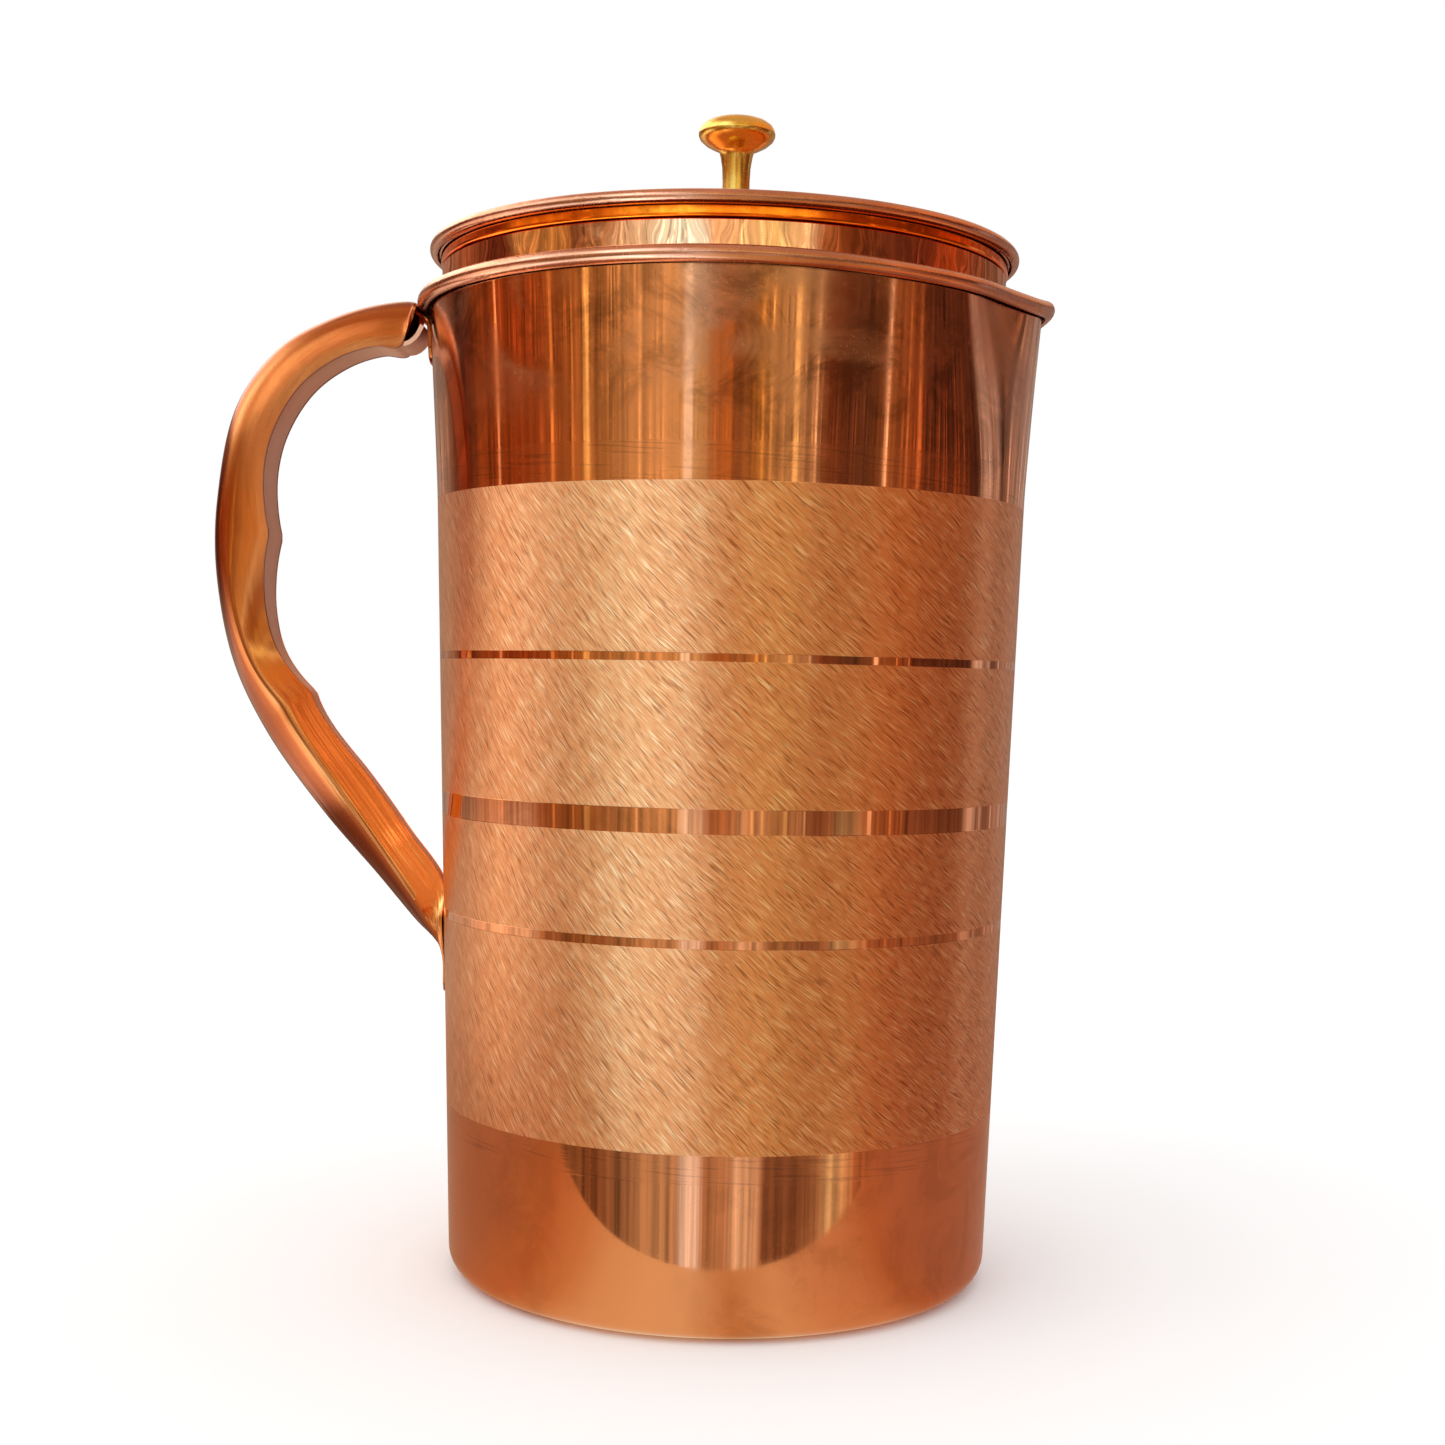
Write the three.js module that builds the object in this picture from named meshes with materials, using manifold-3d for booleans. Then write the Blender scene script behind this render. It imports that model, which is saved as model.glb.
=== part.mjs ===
// Copper water jug: a spun, tapered jug with a pinched pouring lip and a wired rim,
// a folded strip handle, and a lift-off lid with a turned brass knob.
// Millimetres, +Z up. The jug stands on z = 0 with its axis on the Z axis,
// the lip towards +X and the handle towards -X.
import * as THREE from 'three';
import { mergeVertices } from 'three/addons/utils/BufferGeometryUtils.js';
import Module from 'manifold-3d';

// Shared
const gap = 0.3;                 // room kept between neighbouring pieces
const roundSteps = 60;           // facets round the jug
const smallSteps = 24;           // facets round the knob and its fastening
const crownSteps = 4;            // facets from the lid's crown to its gutter

// Jug body
const rimHeight = 176.9;         // top of the rolled rim above the table
const baseRadius = 49.2;         // outer radius of the straight wall, carried down to the table
const wallLean = 0.0325;         // outward lean of the wall for each millimetre of height
const wallSheet = 0.6;           // copper sheet of the body
const cornerRadius = 4.5;        // outer round between wall and base
const mouthFlare = 0.95;         // extra radius that the wall gains towards the rim
const mouthLength = 36;          // height over which the mouth flares and the lip is pinched
const rimWireRadius = 0.5;       // iron wire that the rim is rolled round

// Pouring lip
const lipPinch = 2.7;            // how far the wall is pushed in on each side of the lip
const lipPinchAngle = 0.52;      // angle of each pinch from +X
const lipPinchWidth = 0.26;      // angular reach of each pinch
const lipOut = 1.0;              // how far the tip is drawn out
const lipRise = 1.9;             // how far the tip is lifted
const lipTipWidth = 0.2;         // angular reach of the tip
const flankDip = 1.0;            // how far the rim sinks beside the lip
const flankDipAngle = 0.95;
const flankDipWidth = 0.4;

// Ledge inside the mouth that carries the lid
const seatDepth = 10.7;          // top of the ledge below the top of the rim
const seatWidth = 6;             // reach of the ledge into the mouth
const seatFlange = 5;            // height of its flange along the wall
const seatSheet = 0.8;

// Lid
const lidPlay = 3;               // radial room between the lid's skirt and the mouth
const lidShift = 2;              // how far the loose lid lies towards the handle
const skirtHeight = 15.6;
const skirtSheet = 0.6;
const lidSheet = 0.5;
const lidWireRadius = 0.35;      // wire in the lid's rolled edge
const coveStep = 0.5;            // the lid's upright edge stands this far outside the skirt
const lidEdgeHeight = 4;         // top of the lid's rolled edge above its gutter
const gutterWidth = 2.6;         // flat gutter inside the upright edge
const lidRise = 7;               // crown of the lid above its gutter
const knobSeatRadius = 9;        // flat crown that the knob stands on

// Knob and its fastening
const knobOffset = 1.8;          // the knob's hole was punched this far off the lid's centre
const knobHeight = 21.9;
const knobFootRadius = 5.2;
const knobStemRadius = 2.5;
const knobNeckRadius = 3.2;      // flare where the stem meets the cap
const knobCapRadius = 7.1;
const knobCapDepth = 6.3;        // from the neck to the top of the cap
const screwRadius = 1.2;
const screwReach = 8;            // length of the screw inside the knob
const screwHeadRadius = 3.2;
const screwHeadHeight = 1.6;
const screwSlot = 0.8;
const washerRadius = 4.8;
const washerSheet = 0.6;

// Handle
const handleSheet = 0.6;
const gripSheet = 0.8;
const handleSteps = 60;          // sections along the handle
const handleArcSteps = 8;        // facets round its outer side
const scallopHeight = 1.8;       // the two points between the finger hollows
const scallopWidth = 0.045;      // half-length of each, as a share of the handle's run
const scallopPlaces = [0.585, 0.69];

// Radius of the body's outer face at a height, before the lip is formed.
function wallRadius(z) {
  const up = THREE.MathUtils.clamp((z - (rimHeight - mouthLength)) / mouthLength, 0, 1.2);
  return baseRadius + wallLean * z + mouthFlare * up ** 1.2;
}

// Places that follow from the sizes above.
const rimRadius = rimWireRadius + gap + wallSheet;
const rimZ = rimHeight - rimRadius;
const rimCentre = wallRadius(rimZ) + rimWireRadius + gap;
const seatTop = rimHeight - seatDepth;
const skirtRadius = wallRadius(seatTop) - wallSheet - lidPlay;
const lidZ = seatTop + gap + skirtHeight + gap;
const lidEdgeRadius = lidWireRadius + gap + lidSheet;
const lidEdgeCentre = skirtRadius + coveStep + lidWireRadius + gap;
const lidEdgeZ = lidEdgeHeight - lidEdgeRadius;

// Materials
const metal = (color, roughness) => new THREE.MeshStandardMaterial({ color, roughness, metalness: 1 });
const polishedCopper = metal(0xc46a35, 0.18);
const satinCopper = metal(0xb8643a, 0.35);
const plainCopper = metal(0xb5714f, 0.4);
const ironWire = metal(0x6f6a66, 0.5);
const brass = metal(0xd39a35, 0.25);

// One hump of unit height, centred on zero.
const hump = (distance, width) => Math.exp(-((distance / width) ** 2));

// How forming the lip moves a point of the wall: outwards and up.
function lipForm(angle, z) {
  const up = THREE.MathUtils.clamp((z - (rimHeight - mouthLength)) / mouthLength, 0, 1);
  const fade = up ** 1.5;
  const side = Math.abs(angle);
  const out = lipOut * hump(side, lipTipWidth) - lipPinch * hump(side - lipPinchAngle, lipPinchWidth);
  const rise = lipRise * hump(side, lipTipWidth) - flankDip * hump(side - flankDipAngle, flankDipWidth);
  return { out: out * fade, rise: rise * fade ** 2 };
}

// The rim rises and dips with the lip; a level piece inside the mouth only follows the wall's shape.
function formLip(geometry, level = false) {
  const place = geometry.attributes.position;
  for (let i = 0; i < place.count; i += 1) {
    const x = place.getX(i);
    const y = place.getY(i);
    const z = place.getZ(i);
    const radius = Math.hypot(x, y);
    if (radius > 0) {
      const form = lipForm(Math.atan2(y, x), z);
      const scale = (radius + form.out) / radius;
      place.setXYZ(i, x * scale, y * scale, level ? z : z + form.rise);
    }
  }
  return geometry;
}

// Turns a profile of [radius, height] points about Z. A profile runs so that the metal is on its left.
function turned(profile, steps) {
  const points = profile.map(([radius, height]) => new THREE.Vector2(Math.max(radius, 0), height));
  return new THREE.LatheGeometry(points, steps).rotateX(Math.PI / 2);
}

// A closed ring: its profile comes back to its first point.
const ring = (profile, steps) => turned([...profile, profile[0]], steps);

// Points on an arc, from one angle to another in degrees.
function arc(centreX, centreY, radius, from, to, steps) {
  const points = [];
  for (let i = 0; i <= steps; i += 1) {
    const angle = THREE.MathUtils.degToRad(from + ((to - from) * i) / steps);
    points.push([centreX + radius * Math.cos(angle), centreY + radius * Math.sin(angle)]);
  }
  return points;
}

// Sheet rolled outwards round a wire: up the outer face, under the roll, and back over it.
function rolledEdge(centreX, centreY, inner, outer) {
  return [...arc(centreX, centreY, inner, 180, -100, 6), ...arc(centreX, centreY, outer, -100, 180, 8)];
}

const wireRing = (centre, height, radius) => ring(arc(centre, height, radius, 0, 300, 5), roundSteps);

// A closed mesh as a solid for cutting, and back again.
const wasm = await Module();
wasm.setup();

function toSolid(geometry) {
  const bare = geometry.clone();
  bare.deleteAttribute('normal');
  bare.deleteAttribute('uv');
  const merged = mergeVertices(bare, 1e-5);
  const corners = merged.index.array;
  const kept = [];
  for (let i = 0; i < corners.length; i += 3) {
    const [a, b, c] = corners.subarray(i, i + 3);
    if (a !== b && b !== c && c !== a) kept.push(a, b, c);
  }
  return new wasm.Manifold(new wasm.Mesh({
    numProp: 3,
    vertProperties: new Float32Array(merged.attributes.position.array),
    triVerts: new Uint32Array(kept),
  }));
}

function cut(geometry, tool) {
  const result = toSolid(geometry).subtract(toSolid(tool)).getMesh();
  const out = new THREE.BufferGeometry();
  out.setAttribute('position', new THREE.BufferAttribute(new Float32Array(result.vertProperties), 3));
  out.setIndex(new THREE.BufferAttribute(new Uint32Array(result.triVerts), 1));
  return out;
}

// Jug body: one spun sheet, closed at the base, rolled round a wire at the rim.
function jugBody() {
  const cornerZ = cornerRadius;
  const cornerX = wallRadius(cornerZ) - cornerRadius;
  const heights = [rimHeight - mouthLength];
  for (let i = 1; i < 4; i += 1) heights.push(rimHeight - mouthLength * (1 - i / 4));
  const outside = heights.map((z) => [wallRadius(z), z]);
  const inside = heights.map((z) => [wallRadius(z) - wallSheet, z]).reverse();
  const profile = [
    [0, 0],
    ...arc(cornerX, cornerZ, cornerRadius, -90, 0, 5),
    ...outside,
    ...rolledEdge(rimCentre, rimZ, rimWireRadius + gap, rimRadius),
    ...inside,
    ...arc(cornerX, cornerZ, cornerRadius - wallSheet, 0, -90, 5),
    [0, wallSheet],
  ];
  return formLip(turned(profile, roundSteps));
}

const rimWire = () => formLip(wireRing(rimCentre, rimZ, rimWireRadius));

// Ledge for the lid: an angle ring brazed to the inside of the mouth.
function lidSeat() {
  const touch = (z) => wallRadius(z) - wallSheet - gap;
  const edge = touch(seatTop) - seatWidth;
  const low = seatTop - seatFlange;
  return formLip(ring([
    [edge, seatTop - seatSheet],
    [touch(seatTop) - seatSheet, seatTop - seatSheet],
    [touch(low) - seatSheet, low],
    [touch(low), low],
    [touch(seatTop), seatTop],
    [edge, seatTop],
  ], roundSteps), true);
}

// Handle: each station gives the inner and the outer edge of its side view, as reach from the
// wall and drop below the top of the rim, and its width. A wall station rests against the wall.
const lieOn = (drop, turn, width) => ({
  inner: turn > 0 ? [gap + handleSheet, drop] : [gap, drop],
  outer: turn > 0 ? [gap, drop] : [gap + handleSheet, drop],
  width,
});
const station = (inner, outer, width) => ({ inner, outer, width });
const handleStations = [
  lieOn(13.6, 1, 5),
  lieOn(12.6, 1, 9),
  lieOn(10.5, 1, 11),
  lieOn(6, 1, 11),
  station([1.8, 4.2], [1.3, 3.6], 11.5),
  station([3, 3.2], [2.5, 2.8], 12),
  station([3.9, 1.8], [3.4, 1.4], 12.4),
  station([4.5, 1.1], [4.3, 0.5], 12.6),
  station([5.5, 8.2], [4.9, 0.5], 13),
  station([10.2, 8.9], [10.4, 1.1], 13.2),
  station([16.7, 11.2], [19.8, 3.8], 13.4),
  station([23.9, 16.4], [28.4, 8.8], 13.6),
  station([29.6, 25.4], [36.8, 19.5], 13.6),
  station([32, 37.4], [41.2, 37], 13.6),
  station([32.2, 51], [41.7, 51], 13.6),
  station([30.4, 63.5], [38.9, 66.8], 13.4),
  station([24.6, 74.6], [32.8, 80], 13.2),
  station([14.8, 86.2], [22.9, 94], 12.4),
  station([6.4, 97.9], [12.5, 106.1], 11.4),
  station([gap, 107], [5.4, 114.6], 10.2),
  station([gap, 114], [1.5, 118.6], 9.2),
  lieOn(121, -1, 9),
  lieOn(125.4, -1, 8.4),
  lieOn(127, -1, 4.6),
];
const mouthStation = 8;          // first station where the sheet has closed into a channel
const lastChannelStation = 19;   // last one that the grip strip reaches

const handlePoint = ([reach, drop]) => {
  const z = rimHeight - drop;
  return new THREE.Vector3(-(wallRadius(z) + reach), 0, z);
};
const handleLine = (points) => new THREE.CatmullRomCurve3(points.map(handlePoint), false, 'centripetal');
const innerLine = handleLine(handleStations.map((s) => s.inner));
const outerLine = handleLine(handleStations.map((s) => s.outer));
const runOf = (index) => index / (handleStations.length - 1);

// Inner and outer edge, the direction between them, and the half width, at a share of the run.
function handleFrame(run) {
  const inner = innerLine.getPoint(run);
  const outer = outerLine.getPoint(run);
  const out = outer.clone().sub(inner).normalize();
  for (const place of scallopPlaces) {
    const rise = Math.max(0, 1 - Math.abs(run - place) / scallopWidth);
    inner.addScaledVector(out, -scallopHeight * rise ** 2);
  }
  const exact = run * (handleStations.length - 1);
  const index = Math.min(Math.floor(exact), handleStations.length - 2);
  const share = exact - index;
  const width = THREE.MathUtils.lerp(handleStations[index].width, handleStations[index + 1].width, share);
  return { inner, out, depth: outer.distanceTo(inner), half: width / 2 };
}

// Joins a row of closed sections, all with the same number of points, into one closed skin.
function skin(sections) {
  const size = sections[0].length;
  const places = sections.flat().flatMap((p) => [p.x, p.y, p.z]);
  const corners = [];
  for (let row = 0; row + 1 < sections.length; row += 1) {
    for (let i = 0; i < size; i += 1) {
      const a = row * size + i;
      const b = row * size + ((i + 1) % size);
      corners.push(a, b + size, b, a, a + size, b + size);
    }
  }
  const half = size / 2;
  for (const [start, turn] of [[0, -1], [(sections.length - 1) * size, 1]]) {
    for (let i = 0; i + 1 < half; i += 1) {
      const near = [start + i, start + i + 1];
      const far = [start + size - 1 - i, start + size - 2 - i];
      const faces = [[near[0], far[0], near[1]], [near[1], far[0], far[1]]];
      for (const [a, b, c] of faces) corners.push(...(turn > 0 ? [a, b, c] : [a, c, b]));
    }
  }
  const geometry = new THREE.BufferGeometry();
  geometry.setAttribute('position', new THREE.Float32BufferAttribute(places, 3));
  geometry.setIndex(corners);
  return geometry;
}

const sideways = new THREE.Vector3(0, 1, 0);

// Half a rounded box: width along Y, depth along the section's outward direction.
function archPoints(frame, half, depth) {
  const points = [];
  for (let i = 0; i <= handleArcSteps; i += 1) {
    const angle = (Math.PI * i) / handleArcSteps;
    const across = Math.sign(Math.cos(angle)) * Math.abs(Math.cos(angle)) ** 0.75 * half;
    const up = Math.sin(angle) ** 0.75 * depth;
    points.push(frame.inner.clone().addScaledVector(sideways, across).addScaledVector(frame.out, up));
  }
  return points;
}

// Outer sheet of the handle: folded into an arch, flat where it lies on the body.
function handleShell() {
  const sections = [];
  for (let i = 0; i <= handleSteps; i += 1) {
    const frame = handleFrame(i / handleSteps);
    const outside = archPoints(frame, frame.half, frame.depth);
    const hollow = Math.max(frame.depth - handleSheet, 0);
    const inside = archPoints(frame, frame.half - handleSheet, hollow).reverse();
    sections.push([...outside, ...inside]);
  }
  return skin(sections);
}

// Inner strip of the handle, let in between the edges of the arch.
function handleGrip() {
  const sections = [];
  const from = runOf(mouthStation);
  const to = runOf(lastChannelStation - 0.4);
  const steps = Math.round(handleSteps * (to - from));
  for (let i = 0; i <= steps; i += 1) {
    const frame = handleFrame(from + ((to - from) * i) / steps);
    const half = frame.half - handleSheet - gap;
    const at = (across, up) => frame.inner.clone()
      .addScaledVector(sideways, across)
      .addScaledVector(frame.out, up);
    sections.push([at(half, 0), at(half, gripSheet), at(-half, gripSheet), at(-half, 0)]);
  }
  return skin(sections);
}

// Lid sheet: crown, gutter and upright edge rolled round a wire. Heights are above the gutter's underside.
function lidTop() {
  const upright = skirtRadius + coveStep;
  const domeEdge = upright - lidSheet - gutterWidth;
  const crown = (height) => {
    const points = [];
    for (let i = 0; i <= crownSteps; i += 1) {
      const share = i / crownSteps;
      const radius = THREE.MathUtils.lerp(knobSeatRadius, domeEdge, share);
      points.push([radius, height + lidRise * (1 - share ** 2)]);
    }
    return points;
  };
  const profile = [
    [0, lidRise],
    ...crown(0),
    [upright - 0.4, 0],
    [upright, 0.4],
    ...rolledEdge(lidEdgeCentre, lidEdgeZ, lidWireRadius + gap, lidEdgeRadius),
    [upright - lidSheet, lidSheet + 0.3],
    [upright - lidSheet - 0.3, lidSheet],
    ...crown(lidSheet).reverse(),
    [0, lidRise + lidSheet],
  ];
  const holeRadius = screwRadius + gap;
  const holeTop = lidRise * 2;
  const hole = turned([[0, 0], [holeRadius, 0], [holeRadius, holeTop], [0, holeTop]], smallSteps);
  return cut(turned(profile, roundSteps), hole.translate(knobOffset, 0, 0));
}

const lidEdgeWire = () => wireRing(lidEdgeCentre, lidEdgeZ, lidWireRadius);

function lidSkirt() {
  const inner = skirtRadius - skirtSheet;
  const low = -gap - skirtHeight;
  return ring([[inner, low], [skirtRadius, low], [skirtRadius, -gap], [inner, -gap]], roundSteps);
}

// Knob, turned from bar, with a blind hole for its screw. Heights are above its foot.
function knobProfile() {
  const boreRadius = screwRadius + gap;
  const boreTop = screwReach + gap;
  const neckZ = knobHeight - knobCapDepth;
  return [
    [0, boreTop],
    [boreRadius, boreTop],
    [boreRadius, 0],
    [knobFootRadius, 0],
    [knobFootRadius, 0.9],
    [knobFootRadius * 0.72, 1.6],
    [knobStemRadius + 0.3, 2.8],
    [knobStemRadius, 4.6],
    [knobStemRadius, neckZ - 2.2],
    [knobNeckRadius, neckZ],
    [knobCapRadius * 0.78, neckZ + 1.3],
    [knobCapRadius * 0.96, neckZ + 2.2],
    [knobCapRadius, neckZ + 3.1],
    [knobCapRadius * 0.95, neckZ + 4.2],
    [knobCapRadius * 0.78, neckZ + 5.3],
    [knobCapRadius * 0.42, neckZ + 6.1],
    [0, knobHeight],
  ];
}

function knobScrew() {
  const headTop = -gap - washerSheet - gap;
  const tip = lidSheet + gap + screwReach;
  const low = headTop - screwHeadHeight;
  const body = turned([
    [0, low],
    [screwHeadRadius * 0.6, low + 0.15],
    [screwHeadRadius, headTop - 0.6],
    [screwHeadRadius, headTop],
    [screwRadius, headTop],
    [screwRadius, tip - 0.5],
    [screwRadius - 0.5, tip],
    [0, tip],
  ], smallSteps);
  const slot = new THREE.BoxGeometry(screwHeadRadius * 3, screwSlot, screwHeadHeight);
  return cut(body, slot.translate(0, 0, low));
}

function knobWasher() {
  const top = -gap;
  const hole = screwRadius + gap;
  return ring([
    [hole, top - washerSheet],
    [washerRadius, top - washerSheet],
    [washerRadius, top],
    [hole, top],
  ], smallSteps);
}

// Assembly
function piece(name, geometry, material) {
  const mesh = new THREE.Mesh(geometry, material);
  mesh.name = name;
  return mesh;
}

const jug = new THREE.Group();
jug.add(
  piece('jug_body', jugBody(), polishedCopper),
  piece('rim_wire', rimWire(), ironWire),
  piece('lid_seat', lidSeat(), plainCopper),
  piece('handle_shell', handleShell(), satinCopper),
  piece('handle_grip', handleGrip(), plainCopper),
);

const lid = new THREE.Group();
lid.position.set(-lidShift, 0, lidZ);
lid.add(
  piece('lid_top', lidTop(), polishedCopper),
  piece('lid_edge_wire', lidEdgeWire(), ironWire),
  piece('lid_skirt', lidSkirt(), polishedCopper),
);

const knob = new THREE.Group();
knob.position.set(knobOffset, 0, lidRise);
const knobMesh = piece('knob', turned(knobProfile(), smallSteps), brass);
knobMesh.position.z = lidSheet + gap;
knob.add(
  knobMesh,
  piece('knob_screw', knobScrew(), brass),
  piece('knob_washer', knobWasher(), brass),
);
lid.add(knob);

const root = new THREE.Group();
root.add(jug, lid);

export default root;
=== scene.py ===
import math

import bpy
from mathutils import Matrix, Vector


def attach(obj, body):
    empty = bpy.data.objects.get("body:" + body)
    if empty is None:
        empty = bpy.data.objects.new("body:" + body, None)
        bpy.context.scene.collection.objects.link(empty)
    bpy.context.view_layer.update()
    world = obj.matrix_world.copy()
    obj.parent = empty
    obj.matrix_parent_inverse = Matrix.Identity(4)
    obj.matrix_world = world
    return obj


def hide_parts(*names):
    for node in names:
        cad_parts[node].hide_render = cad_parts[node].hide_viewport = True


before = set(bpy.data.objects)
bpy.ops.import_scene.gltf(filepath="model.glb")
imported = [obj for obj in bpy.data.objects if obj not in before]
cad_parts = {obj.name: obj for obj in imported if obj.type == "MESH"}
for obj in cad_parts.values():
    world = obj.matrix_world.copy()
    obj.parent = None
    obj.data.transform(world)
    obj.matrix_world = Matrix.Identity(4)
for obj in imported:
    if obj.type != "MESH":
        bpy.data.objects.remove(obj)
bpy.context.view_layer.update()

mm = 0.001
sceneNow = bpy.context.scene
sceneNow.view_settings.view_transform = "Standard"


def addNode(tree, kind, inputs=None, **settings):
    # a socket as a value is linked, anything else is set
    made = tree.nodes.new(kind)
    for setting, value in settings.items():
        setattr(made, setting, value)
    for socket, value in (inputs or {}).items():
        if isinstance(value, bpy.types.NodeSocket):
            tree.links.new(value, made.inputs[socket])
        else:
            made.inputs[socket].default_value = value
    return made


def calc(tree, operation, first, second=0.0, third=0.0):
    sockets = {0: first, 1: second, 2: third}
    return addNode(tree, "ShaderNodeMath", sockets, operation=operation).outputs[0]


def times(tree, first, *others):
    for other in others:
        first = calc(tree, "MULTIPLY", first, other)
    return first


def joined(tree, x, y=0.0, z=0.0):
    return addNode(tree, "ShaderNodeCombineXYZ", {0: x, 1: y, 2: z}).outputs[0]


def opaque(colour):
    return (*colour, 1)


def fade(tree, value, low, high, toLow=0.0, toHigh=1.0):
    sockets = {"Value": value, "From Min": low, "From Max": high, "To Min": toLow, "To Max": toHigh}
    return addNode(tree, "ShaderNodeMapRange", sockets).outputs["Result"]


def mixColour(tree, share, first, second, blend="MIX"):
    sockets = {0: share, 6: first, 7: second}
    made = addNode(tree, "ShaderNodeMix", sockets, data_type="RGBA", blend_type=blend)
    return made.outputs[2]


def mixShaders(tree, share, first, second):
    sockets = {0: share, 1: first.outputs[0], 2: second.outputs[0]}
    return addNode(tree, "ShaderNodeMixShader", sockets)


def rampOf(tree, value, stops, interpolation="LINEAR"):
    made = addNode(tree, "ShaderNodeValToRGB", {"Fac": value})
    made.color_ramp.interpolation = interpolation
    points = made.color_ramp.elements
    points[0].position = stops[0][0]
    points[0].color = opaque(stops[0][1])
    points.remove(points[1])
    for place, colour in stops[1:]:
        points.new(place).color = opaque(colour)
    return made.outputs["Color"]


def noiseOf(tree, place, scale, detail=2.0, roughness=0.5, distortion=0.0):
    sockets = {
        "Vector": place,
        "Scale": scale,
        "Detail": detail,
        "Roughness": roughness,
        "Distortion": distortion,
    }
    return addNode(tree, "ShaderNodeTexNoise", sockets).outputs["Fac"]


def selectNothing():
    bpy.ops.object.select_all(action="DESELECT")


def editOn(piece):
    selectNothing()
    piece.select_set(True)
    bpy.context.view_layer.objects.active = piece
    bpy.ops.object.mode_set(mode="EDIT")


def editOff():
    bpy.ops.object.mode_set(mode="OBJECT")


def applyModifier(piece, kind, **settings):
    selectNothing()
    piece.select_set(True)
    bpy.context.view_layer.objects.active = piece
    added = piece.modifiers.new(kind.title(), kind)
    for setting, value in settings.items():
        setattr(added, setting, value)
    bpy.ops.object.modifier_apply(modifier=added.name)


def smoothPiece(piece, angle=35):
    selectNothing()
    piece.select_set(True)
    bpy.context.view_layer.objects.active = piece
    bpy.ops.object.shade_smooth_by_angle(angle=math.radians(angle))


def arcPoints(centreX, centreZ, radius, start, end, steps):
    points = []
    for i in range(steps + 1):
        angle = math.radians(start + (end - start) * i / steps)
        points.append((centreX + radius * math.cos(angle), centreZ + radius * math.sin(angle)))
    return points


def turnOutline(name, outline, steps, closed=True):
    # one corner is drawn along the outline in millimetres, and the line is spun round the Z axis
    selectNothing()
    bpy.ops.mesh.primitive_plane_add(size=1 * mm, location=(0, 0, 0))
    piece = bpy.context.active_object
    piece.name = name
    piece.data.name = name
    bpy.ops.object.mode_set(mode="EDIT")
    bpy.ops.mesh.select_all(action="SELECT")
    bpy.ops.mesh.merge(type="CENTER")
    here = (outline[0][0] * mm, 0, outline[0][1] * mm)
    bpy.ops.transform.translate(value=here)
    path = list(outline[1:])
    if closed:
        path.append(outline[0])
    for radius, height in path:
        step = (radius * mm - here[0], 0, height * mm - here[2])
        bpy.ops.mesh.extrude_region_move(TRANSFORM_OT_translate={"value": step})
        here = (radius * mm, 0, height * mm)
    bpy.ops.mesh.select_all(action="SELECT")
    bpy.ops.mesh.spin(steps=steps, angle=2 * math.pi, center=(0, 0, 0), axis=(0, 0, 1))
    bpy.ops.mesh.select_all(action="SELECT")
    bpy.ops.mesh.remove_doubles(threshold=0.002 * mm)
    bpy.ops.mesh.normals_make_consistent(inside=False)
    editOff()
    return piece


def paintFaces(piece, materials, choose):
    # choose gives the number of the material for a face, from its middle and its normal
    for material in materials:
        piece.data.materials.append(material)
    for face in piece.data.polygons:
        face.material_index = choose(face.center, face.normal)


def paintNode(name, material):
    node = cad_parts[name]
    node.data.materials.clear()
    node.data.materials.append(material)


view = {
    "place": (0.0, -0.3819, 0.1074),
    "turn": (88.957, -1.163, 0.124),
    "lens": 51.28,
}

bpy.ops.object.camera_add(location=view["place"], rotation=[math.radians(a) for a in view["turn"]])
camera = bpy.context.active_object
camera.data.lens = view["lens"]
camera.data.sensor_width = 36
camera.data.clip_start = 0.01
sceneNow.camera = camera

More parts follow.
